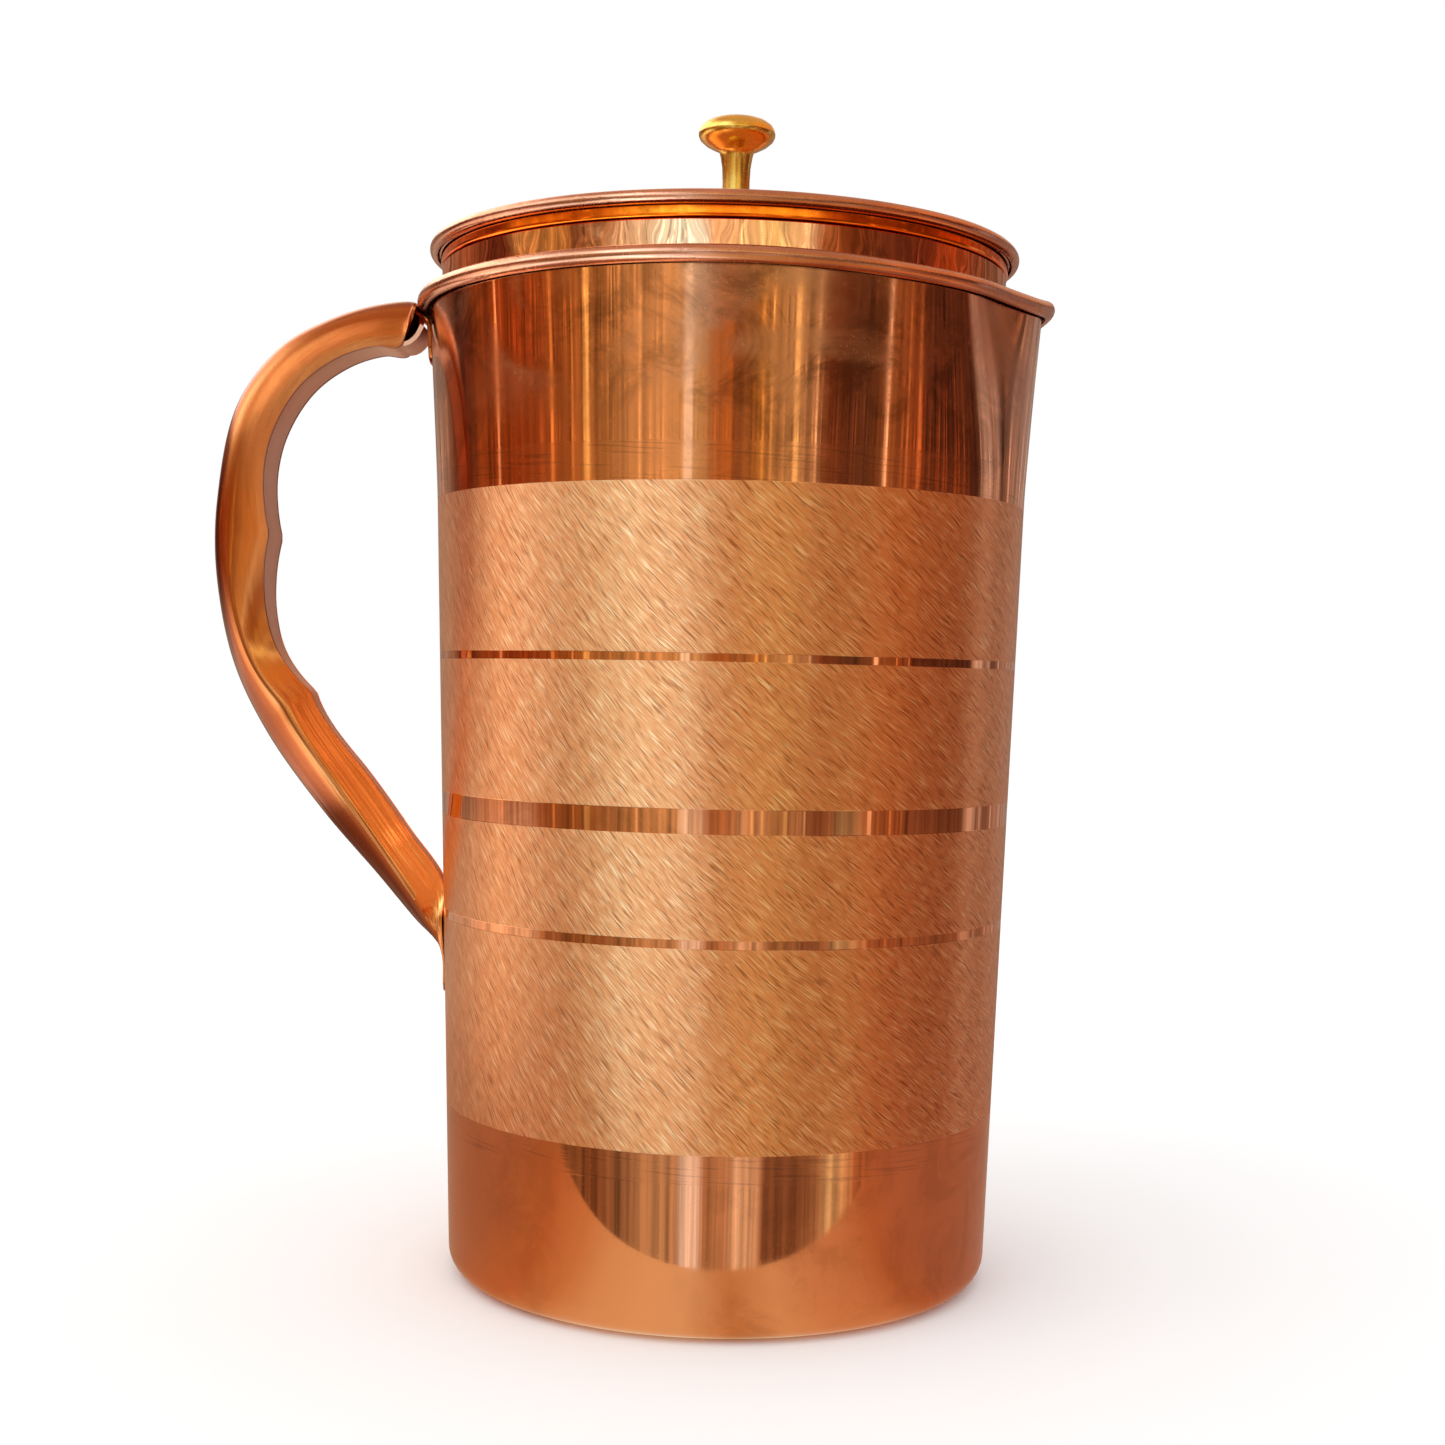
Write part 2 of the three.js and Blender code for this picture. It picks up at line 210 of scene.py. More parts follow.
# What the copper mirrors, as colours by azimuth. Azimuth is in degrees, 0 on the camera's side
# and growing towards +X.
room = {
    "ahead": [
        (-180, (0.30, 0.20, 0.16)),
        (-143, (0.42, 0.30, 0.22)),
        (-133, (0.26, 0.13, 0.08)),
        (-126, (0.11, 0.035, 0.02)),
        (-118, (0.13, 0.04, 0.025)),
        (-112, (0.34, 0.11, 0.035)),
        (-86, (0.34, 0.09, 0.025)),
        (-76, (0.36, 0.12, 0.04)),
        (-60, (0.44, 0.22, 0.08)),
        (-49, (0.48, 0.32, 0.15)),
        (-40, (0.66, 0.50, 0.27)),
        (-24, (0.92, 0.74, 0.42)),
        (-12, (0.78, 0.70, 0.42)),
        (-7, (0.50, 0.27, 0.12)),
        (-1, (0.56, 0.26, 0.08)),
        (2, (0.32, 0.17, 0.08)),
        (9, (0.50, 0.30, 0.09)),
        (20, (0.70, 0.58, 0.34)),
        (29, (0.54, 0.42, 0.28)),
        (35, (0.24, 0.10, 0.05)),
        (50, (0.12, 0.06, 0.04)),
        (60, (0.40, 0.20, 0.09)),
        (70, (0.32, 0.12, 0.05)),
        (78, (0.14, 0.06, 0.04)),
        (108, (0.10, 0.045, 0.03)),
        (112, (0.62, 0.56, 0.56)),
        (117, (0.74, 0.74, 0.82)),
        (119, (0.24, 0.15, 0.11)),
        (122, (0.66, 0.60, 0.60)),
        (126, (0.16, 0.10, 0.08)),
        (142, (0.46, 0.34, 0.28)),
        (180, (0.30, 0.20, 0.16)),
    ],
    "lidLevel": [
        (-180, (0.30, 0.20, 0.14)),
        (-119, (0.42, 0.17, 0.09)),
        (-106, (0.16, 0.05, 0.03)),
        (-96, (0.14, 0.045, 0.03)),
        (-90, (0.60, 0.44, 0.22)),
        (-67, (0.72, 0.52, 0.20)),
        (-60, (0.30, 0.16, 0.09)),
        (-47, (0.66, 0.52, 0.34)),
        (-38, (0.85, 0.95, 0.95)),
        (-30, (1.10, 1.40, 1.50)),
        (-22, (1.20, 2.00, 2.60)),
        (-10, (1.25, 2.30, 3.10)),
        (-5, (1.30, 1.25, 1.00)),
        (6, (1.45, 1.60, 1.25)),
        (20, (1.35, 1.60, 1.00)),
        (34, (1.30, 1.40, 1.20)),
        (40, (0.60, 0.32, 0.16)),
        (48, (0.26, 0.10, 0.04)),
        (66, (0.18, 0.07, 0.04)),
        (86, (0.17, 0.05, 0.03)),
        (102, (0.42, 0.10, 0.03)),
        (130, (0.30, 0.16, 0.10)),
        (180, (0.30, 0.20, 0.14)),
    ],
    "above": [
        (-180, (0.80, 0.60, 0.45)),
        (-150, (2.90, 2.60, 2.10)),
        (-131, (3.20, 3.20, 2.90)),
        (-117, (2.90, 2.90, 2.60)),
        (-95, (2.60, 2.60, 2.40)),
        (-80, (2.60, 3.80, 4.60)),
        (-70, (2.00, 2.40, 2.50)),
        (-58, (2.00, 2.30, 2.10)),
        (-42, (2.90, 4.50, 5.40)),
        (-29, (2.10, 2.50, 2.80)),
        (-21, (1.60, 1.90, 2.20)),
        (-13, (1.05, 1.00, 0.65)),
        (0, (0.86, 0.60, 0.22)),
        (18, (0.80, 0.58, 0.23)),
        (45, (0.92, 0.50, 0.19)),
        (75, (1.05, 0.48, 0.17)),
        (95, (1.00, 0.48, 0.20)),
        (130, (0.80, 0.46, 0.28)),
        (180, (0.80, 0.60, 0.45)),
    ],
    "below": [
        (-180, (0.45, 0.30, 0.22)),
        (-140, (1.20, 0.95, 0.70)),
        (-100, (1.90, 1.75, 1.50)),
        (-84, (1.70, 1.70, 1.60)),
        (-76, (0.62, 0.42, 0.24)),
        (-64, (0.32, 0.20, 0.11)),
        (-52, (0.24, 0.13, 0.07)),
        (-36, (0.40, 0.31, 0.22)),
        (-22, (0.64, 0.56, 0.42)),
        (-17, (0.60, 0.50, 0.38)),
        (-15, (1.10, 1.35, 1.70)),
        (-8, (1.05, 1.20, 1.45)),
        (-6, (0.50, 0.36, 0.24)),
        (4, (0.60, 0.46, 0.34)),
        (7, (0.92, 0.92, 0.86)),
        (15, (0.80, 0.72, 0.62)),
        (18, (0.28, 0.17, 0.11)),
        (34, (0.28, 0.17, 0.11)),
        (42, (0.50, 0.36, 0.24)),
        (46, (0.82, 0.86, 0.62)),
        (54, (0.74, 0.62, 0.42)),
        (58, (0.45, 0.22, 0.12)),
        (90, (0.46, 0.24, 0.15)),
        (180, (0.45, 0.30, 0.22)),
    ],
    "gaps": [  # azimuth, width and colour of narrow bright openings at eye level
        (-98, 1.4, (0.95, 0.62, 0.40)),
        (-70, 1.2, (0.60, 0.34, 0.12)),
        (-61, 1.0, (0.50, 0.30, 0.10)),
        (-55, 2.4, (0.85, 0.80, 0.36)),
        (-34, 1.0, (0.60, 0.50, 0.30)),
        (-16, 3.4, (0.60, 0.95, 1.35)),
        (11, 1.2, (0.60, 0.46, 0.12)),
        (14.5, 0.8, (0.45, 0.40, 0.16)),
        (23, 1.6, (0.50, 0.52, 0.26)),
        (31, 1.0, (0.60, 0.60, 0.48)),
        (58, 1.5, (1.00, 0.95, 0.85)),
        (68, 0.8, (0.55, 0.30, 0.12)),
        (74, 1.0, (0.60, 0.32, 0.14)),
        (134, 1.4, (0.60, 0.50, 0.46)),
    ],
    # elevations between which one part gives way to the next
    "aheadTop": (9, 10.5),      # from ahead up to the lid's level
    "lidTop": (14, 20),         # from there to above
    "aheadLow": (-3, -13),      # from ahead down to below
    "underFoot": (-24, -34),    # from below to the colours of above, which stand for the table
    "overhead": (34, 56),       # from above to the ceiling
    "ceiling": (0.80, 0.58, 0.42),
    "wander": {"scale": 5.0, "reach": 0.035},    # how far the upright edges bend, in radians
    "streaks": {"scale": 22.0, "slant": 0.10, "dark": 0.45, "bright": 1.55},
    "thinStreaks": {"scale": 70.0, "slant": 0.24, "bright": 2.0},
    "dimStreaks": {"scale": 58.0, "dark": 0.5},
    "calm": (-0.07, 0.02),      # rise in radians over which the thin streaks set in
    "tongues": {                # orange tongues that rise from eye level, at the right
        "colour": (0.70, 0.20, 0.05),
        "scale": 60.0,
        "taper": 1.6,
        "from": (1.20, 1.28),
        "to": (1.80, 1.72),
        "foot": (0.0, 0.03),
    },
    "openSky": (1.12, 1.12, 1.12),    # lights whatever is not a mirror
}


def buildRoom():
    world = bpy.data.worlds.new("room")
    sceneNow.world = world
    world.use_nodes = True
    tree = world.node_tree
    tree.nodes.clear()
    toward = addNode(tree, "ShaderNodeTexCoord").outputs["Generated"]
    axes = addNode(tree, "ShaderNodeSeparateXYZ", {0: toward}).outputs
    azimuth = calc(tree, "ARCTAN2", axes["X"], times(tree, axes["Y"], -1))
    reach = room["wander"]["reach"]
    wander = noiseOf(tree, toward, room["wander"]["scale"], 2)
    azimuth = calc(tree, "ADD", azimuth, fade(tree, wander, 0, 1, -reach, reach))
    round01 = fade(tree, azimuth, -math.pi, math.pi)
    ramps = {}
    for part in ("ahead", "lidLevel", "above", "below"):
        ramps[part] = rampOf(tree, round01, [((a + 180) / 360, c) for a, c in room[part]])
    ahead = ramps["ahead"]
    for place, width, colour in room["gaps"]:
        apart = calc(tree, "SUBTRACT", azimuth, math.radians(place))
        apart = calc(tree, "ABSOLUTE", apart)
        strip = fade(tree, apart, math.radians(width * 0.65), math.radians(width * 0.35))
        ahead = mixColour(tree, strip, ahead, opaque(colour), "ADD")
    rise = calc(tree, "ARCSINE", axes["Z"])

    def between(limits):
        return fade(tree, rise, math.radians(limits[0]), math.radians(limits[1]))

    light = mixColour(tree, between(room["aheadLow"]), ahead, ramps["below"])
    light = mixColour(tree, between(room["underFoot"]), light, ramps["above"])
    light = mixColour(tree, between(room["aheadTop"]), light, ramps["lidLevel"])
    light = mixColour(tree, between(room["lidTop"]), light, ramps["above"])
    light = mixColour(tree, between(room["overhead"]), light, opaque(room["ceiling"]))

    # upright streaks, broad ones and thin ones
    wide = room["streaks"]
    streakPlace = joined(tree, azimuth, times(tree, rise, wide["slant"]))
    streaks = noiseOf(tree, streakPlace, wide["scale"], 5, 0.72)
    streaks = fade(tree, streaks, 0.32, 0.68, wide["dark"], wide["bright"])
    narrow = room["thinStreaks"]
    thinPlace = joined(tree, azimuth, times(tree, rise, narrow["slant"]))
    thin = noiseOf(tree, thinPlace, narrow["scale"], 2, 0.5)
    thin = fade(tree, thin, 0.57, 0.66, 1.0, narrow["bright"])
    dim = noiseOf(tree, thinPlace, room["dimStreaks"]["scale"], 1, 0.5)
    dim = fade(tree, dim, 0.44, 0.36, 1.0, room["dimStreaks"]["dark"])
    thin = times(tree, thin, dim)
    calm = fade(tree, rise, *room["calm"])
    thin = calc(tree, "ADD", times(tree, calm, calc(tree, "SUBTRACT", thin, 1)), 1)
    streaks = times(tree, streaks, thin)

    flame = room["tongues"]
    tongues = noiseOf(tree, joined(tree, azimuth), flame["scale"], 2, 0.6)
    tongues = calc(tree, "SUBTRACT", tongues, times(tree, rise, flame["taper"]))
    tongues = fade(tree, tongues, 0.46, 0.50)
    side = times(tree, fade(tree, azimuth, *flame["from"]), fade(tree, azimuth, *flame["to"]))
    tongues = times(tree, tongues, times(tree, side, fade(tree, rise, *flame["foot"])))
    light = mixColour(tree, tongues, light, opaque(flame["colour"]), "ADD")

    sockets = {0: light, 3: streaks}
    brightness = addNode(tree, "ShaderNodeVectorMath", sockets, operation="SCALE").outputs[0]
    rays = addNode(tree, "ShaderNodeLightPath").outputs

    def glowing(colour):
        return addNode(tree, "ShaderNodeBackground", {"Color": colour, "Strength": 1.0})

    paper = glowing((1, 1, 1, 1))
    openSky = glowing(opaque(room["openSky"]))
    unseen = mixShaders(tree, rays["Is Glossy Ray"], openSky, glowing(brightness))
    seen = mixShaders(tree, rays["Is Camera Ray"], unseen, paper)
    output = addNode(tree, "ShaderNodeOutputWorld", {"Surface": seen.outputs[0]})
    output.is_active_output = True


tableTop = {
    "size": 8.0,
    "drop": 0.2,                   # gap under the jug in millimetres
    "albedo": (0.93, 0.93, 0.93),
    "mirroredFrom": (-200, -85),   # the copper mirrors only this much of it, from one corner
    "mirroredTo": (200, 240),      # to the other
    # painted light: seen in the copper, the table top near the jug glows in these warm tints
    "mirrored": [          # how the copper sees it: direction from the jug as in the room, colour
        (-180, (0.42, 0.24, 0.16)),
        (-83, (0.48, 0.26, 0.16)),
        (-55, (0.60, 0.29, 0.14)),
        (-41, (0.72, 0.45, 0.25)),
        (-30, (0.86, 0.69, 0.49)),
        (-18, (0.92, 0.80, 0.58)),
        (-7, (0.89, 0.80, 0.61)),
        (4, (0.72, 0.48, 0.27)),
        (15, (0.84, 0.68, 0.48)),
        (26, (0.76, 0.52, 0.35)),
        (38, (0.72, 0.45, 0.28)),
        (51, (0.56, 0.27, 0.15)),
        (67, (0.48, 0.25, 0.18)),
        (180, (0.42, 0.24, 0.16)),
    ],
}


def buildTable():
    finish = bpy.data.materials.new("paleTable")
    finish.use_nodes = True
    tree = finish.node_tree
    tree.nodes.clear()
    rays = addNode(tree, "ShaderNodeLightPath").outputs
    place = addNode(tree, "ShaderNodeNewGeometry").outputs["Position"]
    axes = addNode(tree, "ShaderNodeSeparateXYZ", {0: place}).outputs
    azimuth = calc(tree, "ARCTAN2", axes["X"], times(tree, axes["Y"], -1))
    azimuth = fade(tree, azimuth, -math.pi, math.pi)
    tint = rampOf(tree, azimuth, [((a + 180) / 360, c) for a, c in tableTop["mirrored"]])
    board = addNode(tree, "ShaderNodeBsdfDiffuse", {"Color": opaque(tableTop["albedo"])})
    # painted light: for glossy rays the table top glows, standing in for warm light thrown back
    # onto it by the copper
    glow = addNode(tree, "ShaderNodeEmission", {"Color": tint})
    clear = addNode(tree, "ShaderNodeBsdfTransparent")
    near = 1.0
    for axis, low, high in zip("XY", tableTop["mirroredFrom"], tableTop["mirroredTo"]):
        above = calc(tree, "GREATER_THAN", axes[axis], low * mm)
        below = calc(tree, "LESS_THAN", axes[axis], high * mm)
        near = times(tree, near, times(tree, above, below))
    mirrored = mixShaders(tree, near, clear, glow)
    both = mixShaders(tree, rays["Is Glossy Ray"], board, mirrored)
    addNode(tree, "ShaderNodeOutputMaterial", {"Surface": both.outputs[0]})
    selectNothing()
    bpy.ops.mesh.primitive_plane_add(size=tableTop["size"], location=(0, 0, -tableTop["drop"] * mm))
    top = bpy.context.active_object
    top.name = "tableTop"
    top.data.materials.append(finish)


windowLight = {"place": (-0.7, -0.55, 1.1), "aim": (0, 0, 0.05), "size": 0.9, "watts": 2.5}


def buildWindow():
    bpy.ops.object.light_add(type="AREA", location=windowLight["place"])
    window = bpy.context.active_object
    window.data.size = windowLight["size"]
    window.data.energy = windowLight["watts"]
    aim = Vector(windowLight["aim"]) - window.location
    window.rotation_euler = aim.to_track_quat("-Z", "Y").to_euler()
    window.visible_glossy = False


buildRoom()
buildTable()
buildWindow()
print("room, table and camera ready")


def newGroup(name, inputs, outputs):
    group = bpy.data.node_groups.new(name, "ShaderNodeTree")
    for label, kind, value in inputs:
        socket = group.interface.new_socket(name=label, in_out="INPUT", socket_type=kind)
        if value is not None:
            socket.default_value = value
    for label in outputs:
        group.interface.new_socket(name=label, in_out="OUTPUT", socket_type="NodeSocketFloat")
    start = group.nodes.new("NodeGroupInput").outputs
    end = group.nodes.new("NodeGroupOutput").inputs
    return group, start, end


def makeBrushLines():
    # short lines side by side: Across and Along are distances on the sheet in millimetres
    numbers = [
        ("Across", "NodeSocketFloat", None),
        ("Along", "NodeSocketFloat", None),
        ("Spacing", "NodeSocketFloat", 0.3),
        ("Length", "NodeSocketFloat", 5.0),
    ]
    group, start, end = newGroup("brushLines", numbers, ["Light", "Dark", "Height"])
    across = calc(group, "DIVIDE", start["Across"], start["Spacing"])
    along = calc(group, "DIVIDE", start["Along"], start["Length"])
    first = joined(group, across, along)
    tilted = calc(group, "MULTIPLY_ADD", along, 2.2, across)
    second = joined(group, tilted, times(group, along, 1.4), 7.0)
    firstLines = noiseOf(group, first, 1.0, 1.5, 0.5)
    secondLines = noiseOf(group, second, 0.75, 1.0, 0.5)
    group.links.new(fade(group, firstLines, 0.58, 0.66), end["Light"])
    group.links.new(fade(group, secondLines, 0.41, 0.33), end["Dark"])
    mean = calc(group, "ADD", firstLines, secondLines)
    group.links.new(times(group, mean, 0.5), end["Height"])
    return group


def makeHandling():
    # marks of use: soft patches, hairline scratches and the slight waves of hand-finished sheet
    inputs = [("Place", "NodeSocketVector", None)]
    group, start, end = newGroup("handling", inputs, ["Patches", "Hairlines", "Waves"])
    patches = noiseOf(group, start["Place"], 38.0, 5, 0.62, 0.6)
    group.links.new(fade(group, patches, 0.42, 0.72), end["Patches"])
    hair = None
    for turn, stretch in ((0.5, 34), (2.0, 26), (1.2, 40)):
        sockets = {
            "Vector": start["Place"],
            "Rotation": (0.3, turn, turn * 0.7),
            "Scale": (stretch, 1, stretch),
        }
        placed = addNode(group, "ShaderNodeMapping", sockets).outputs[0]
        lines = fade(group, noiseOf(group, placed, 60.0, 2, 0.5), 0.66, 0.74)
        hair = lines if hair is None else calc(group, "MAXIMUM", hair, lines)
    group.links.new(hair, end["Hairlines"])
    group.links.new(noiseOf(group, start["Place"], 24.0, 1, 0.4), end["Waves"])
    return group


brushLines = makeBrushLines()
handling = makeHandling()


def newFinish(name):
    material = bpy.data.materials.new(name)
    material.use_nodes = True
    tree = material.node_tree
    tree.nodes.clear()
    shader = addNode(tree, "ShaderNodeBsdfPrincipled", {"Metallic": 1.0})
    addNode(tree, "ShaderNodeOutputMaterial", {"Surface": shader.outputs[0]})
    place = addNode(tree, "ShaderNodeTexCoord").outputs["Object"]
    return material, tree, shader, place


def placeGroup(tree, group, inputs):
    made = addNode(tree, "ShaderNodeGroup", node_tree=group)
    for socket, value in inputs.items():
        if isinstance(value, bpy.types.NodeSocket):
            tree.links.new(value, made.inputs[socket])
        else:
            made.inputs[socket].default_value = value
    return made.outputs


def linesOn(tree, across, along, lines):
    return placeGroup(tree, brushLines, {"Across": across, "Along": along, **lines})


def roundCoordinates(tree, place):
    # height and distance round the axis in millimetres, and the plain sideways axes
    axes = addNode(tree, "ShaderNodeSeparateXYZ", {0: place}).outputs
    height = times(tree, axes["Z"], 1000)
    depth = times(tree, axes["Y"], 1000)
    around = times(tree, calc(tree, "ARCTAN2", axes["Y"], axes["X"]), 52)
    return height, around, depth


def stretchUpright(tree, shader, amount):
    # sheet turned on a lathe draws its highlights out along its height
    tangent = addNode(tree, "ShaderNodeTangent", direction_type="RADIAL", axis="Z").outputs[0]
    tree.links.new(tangent, shader.inputs["Tangent"])
    shader.inputs["Anisotropic"].default_value = amount
    shader.inputs["Anisotropic Rotation"].default_value = 0.25


def bumpOf(tree, height, distance, strength=1.0, normal=None):
    sockets = {"Height": height, "Distance": distance * mm, "Strength": strength}
    if normal is not None:
        sockets["Normal"] = normal
    return addNode(tree, "ShaderNodeBump", sockets).outputs["Normal"]


bodyFinish = {
    "polished": (0.80, 0.33, 0.15),
    "brushed": (0.80, 0.34, 0.145),
    # pale and dark stroke colours: painted glints and painted shade of the brushing
    "paintedGlintLine": (1.0, 0.70, 0.41),
    "paintedShadeLine": (0.34, 0.09, 0.025),
    "patch": (0.46, 0.20, 0.11),
    "tarnish": (0.30, 0.12, 0.055),
    "turnedBands": [(26.3, 31.1), (140.0, 146.3)],
    "brushedBands": [(31.1, 64.7), (66.2, 83.3), (87.4, 111.1), (112.5, 140.0)],
    "bandEdge": 0.06,
    "slope": 0.90,          # fall of the strokes for each millimetre round the front
    "slopeChange": 0.45,    # steeper towards the handle, flatter towards the lip
    "bend": 1.3,
    "strokes": {"Spacing": 0.24, "Length": 7.5},
    "fineStrokes": {"Spacing": 0.15, "Length": 4.0},
    "rings": {"Spacing": 0.30, "Length": 14.0},
    "hazeFrom": (147, 162),         # haze and tarnish set in over these heights
    "tarnishFrom": (140, 158),
    "polishRough": 0.035,
    "turnedRough": 0.035,
    "strokeRough": 0.38,
    "waveDepth": 0.07,
    "strokeDepth": 0.03,
    "ringDepth": 0.012,
}


def bandMask(tree, height, bands):
    edge = bodyFinish["bandEdge"]
    total = None
    for low, high in bands:
        above = fade(tree, height, low - edge, low + edge)
        below = fade(tree, height, high + edge, high - edge)
        inside = times(tree, above, below)
        total = inside if total is None else calc(tree, "ADD", total, inside)
    return total


def makeBodyCopper():
    material, tree, shader, place = newFinish("bodyCopper")
    height, around, depth = roundCoordinates(tree, place)
    brushed = bandMask(tree, height, bodyFinish["brushedBands"])
    turned = bandMask(tree, height, bodyFinish["turnedBands"])
    wear = placeGroup(tree, handling, {"Place": place})

    # brush strokes, slightly bent
    bend = bodyFinish["bend"]
    bend = fade(tree, noiseOf(tree, place, 55.0, 2), 0, 1, -bend, bend)
    across = calc(tree, "MULTIPLY_ADD", around, bodyFinish["slope"], height)
    across = calc(tree, "MULTIPLY_ADD", depth, -bodyFinish["slopeChange"], across)
    across = calc(tree, "ADD", across, bend)
    along = calc(tree, "SUBTRACT", around, height)
    strokes = linesOn(tree, across, along, bodyFinish["strokes"])
    fine = linesOn(tree, across, along, bodyFinish["fineStrokes"])
    rings = linesOn(tree, height, around, bodyFinish["rings"])

    # colour of the strokes: real brushing marks, whose pale and dark lines are painted glints and
    # painted shade
    light = calc(tree, "MAXIMUM", strokes["Light"], times(tree, fine["Light"], 0.7))
    strong = times(tree, strokes["Dark"], 0.8)
    dark = calc(tree, "MAXIMUM", strong, times(tree, fine["Dark"], 0.6))
    ground = opaque(bodyFinish["brushed"])
    strokeColour = mixColour(tree, times(tree, dark, 0.9), ground, opaque(bodyFinish["paintedShadeLine"]))
    paintedGlintLine = opaque(bodyFinish["paintedGlintLine"])
    strokeColour = mixColour(tree, times(tree, light, 0.85), strokeColour, paintedGlintLine)

    # colour of the polish: haze near the rim, patches, turned lines and tarnish
    haze = fade(tree, noiseOf(tree, place, 26.0, 6, 0.6, 1.2), 0.40, 0.58)
    haze = times(tree, haze, fade(tree, height, *bodyFinish["hazeFrom"]))
    smear = calc(tree, "MULTIPLY_ADD", haze, 0.70, times(tree, wear["Patches"], 0.25))
    smear = calc(tree, "ADD", smear, times(tree, rings["Dark"], times(tree, turned, 0.45)))
    polish = opaque(bodyFinish["polished"])
    polishColour = mixColour(tree, smear, polish, opaque(bodyFinish["patch"]))
    tarnish = fade(tree, noiseOf(tree, place, 85.0, 6, 0.68, 0.8), 0.46, 0.60)
    tarnish = times(tree, tarnish, fade(tree, noiseOf(tree, place, 22.0, 2), 0.42, 0.58))
    tarnish = times(tree, tarnish, fade(tree, height, *bodyFinish["tarnishFrom"], 0.25, 0.8))
    polishColour = mixColour(tree, tarnish, polishColour, opaque(bodyFinish["tarnish"]))
    colour = mixColour(tree, brushed, polishColour, strokeColour)
    tree.links.new(colour, shader.inputs["Base Color"])

    # roughness
    rough = calc(tree, "MULTIPLY_ADD", wear["Patches"], 0.05, bodyFinish["polishRough"])
    rough = calc(tree, "MULTIPLY_ADD", wear["Hairlines"], 0.08, rough)
    rough = calc(tree, "MULTIPLY_ADD", haze, 0.17, rough)
    rough = calc(tree, "MULTIPLY_ADD", turned, bodyFinish["turnedRough"], rough)
    strokeRough = calc(tree, "MULTIPLY_ADD", light, 0.06, bodyFinish["strokeRough"])
    change = calc(tree, "SUBTRACT", strokeRough, rough)
    rough = calc(tree, "MULTIPLY_ADD", brushed, change, rough)
    tree.links.new(rough, shader.inputs["Roughness"])

    # relief
    waves = bumpOf(tree, wear["Waves"], bodyFinish["waveDepth"], 1.0)
    strokeHeight = times(tree, strokes["Height"], brushed)
    strokeBump = bumpOf(tree, strokeHeight, bodyFinish["strokeDepth"], 0.8, waves)
    ringHeight = times(tree, rings["Height"], fade(tree, turned, 0, 1, 0.06, 0.6))
    ringBump = bumpOf(tree, ringHeight, bodyFinish["ringDepth"], 1.0, strokeBump)
    tree.links.new(ringBump, shader.inputs["Normal"])
    stretchUpright(tree, shader, 0.8)
    return material


sheetFinish = {
    "insideCopper": {
        "colour": (0.66, 0.29, 0.16),
        "patch": (0.40, 0.18, 0.11),
        "rough": 0.30,
        "patchRough": 0.12,
        "ring": 0.02,
        "ripple": 0.05,
        "dents": 0.05,
    },
    "beadCopper": {
        "colour": (0.64, 0.28, 0.17),
        "patch": (0.34, 0.12, 0.065),
        "rough": 0.19,
        "patchRough": 0.12,
        "ring": 0,
        "ripple": 0.10,
        "dents": 0.04,
    },
    "lidCopper": {
        "colour": (0.80, 0.33, 0.15),
        "patch": (0.60, 0.24, 0.12),
        "rough": 0.06,
        "patchRough": 0.10,
        "ring": 0,
        "ripple": 0.025,
        "dents": 0,
    },
    "skirtCopper": {
        "colour": (0.80, 0.33, 0.15),
        "patch": (0.60, 0.24, 0.12),
        "rough": 0.03,
        "patchRough": 0.03,
        "ring": 0,
        "ripple": 0.20,
        "dents": 0,
    },
    # painted reflection: the cove gets a deep orange that stands in for light bounced between
    # copper surfaces
    "coveCopper": {
        "colour": (1.0, 0.22, 0.012),
        "patch": (0.95, 0.15, 0.01),
        "rough": 0.08,
        "patchRough": 0.04,
        "ring": 0,
        "ripple": 0.05,
        "dents": 0,
    },
}


def makeSheetCopper(name):
    values = sheetFinish[name]
    material, tree, shader, place = newFinish(name)
    height, around, depth = roundCoordinates(tree, place)
    wear = placeGroup(tree, handling, {"Place": place})
    wearAndHighlight = times(tree, wear["Patches"], 0.7)
    colour = mixColour(tree, wearAndHighlight, opaque(values["colour"]), opaque(values["patch"]))
    tree.links.new(colour, shader.inputs["Base Color"])
    rough = calc(tree, "MULTIPLY_ADD", wear["Patches"], values["patchRough"], values["rough"])
    rough = calc(tree, "MULTIPLY_ADD", wear["Hairlines"], 0.10, rough)
    tree.links.new(rough, shader.inputs["Roughness"])
    rings = linesOn(tree, height, around, {"Spacing": 0.4, "Length": 50.0})
    relief = bumpOf(tree, noiseOf(tree, place, 130.0, 1, 0.4), values["ripple"])
    if values["ring"] > 0:
        relief = bumpOf(tree, rings["Height"], values["ring"], 1.0, relief)
    if values["dents"] > 0:
        dents = noiseOf(tree, place, 330.0, 1)
        relief = bumpOf(tree, fade(tree, dents, 0.30, 0.42), values["dents"], 0.8, relief)
    tree.links.new(relief, shader.inputs["Normal"])
    return material


handleFinish = {
    # millimetres that the finish counts on; the strip itself is 9 to 29 wide and 175 long
    "width": 26,
    "length": 190,
    "lines": {"Spacing": 0.5, "Length": 12.0},
    "shell": {
        "colour": (0.46, 0.11, 0.027),
        "shade": (0.28, 0.060, 0.015),
        # colour of the painted highlight along the fold and the painted reflection on the side
        # towards the jug
        "wearAndHighlight": (0.84, 0.33, 0.11),
        # painted shade: darker colour for the back of the shell
        "back": (0.19, 0.042, 0.013),
        "rough": 0.16,
        "furrow": 0.30,
    },
    "grip": {
        "colour": (0.80, 0.44, 0.31),
        "shade": (0.60, 0.28, 0.19),
        "wearAndHighlight": (0.80, 0.44, 0.31),
        "back": (0.80, 0.44, 0.31),
        "rough": 0.30,
        "furrow": 0.05,
    },
}


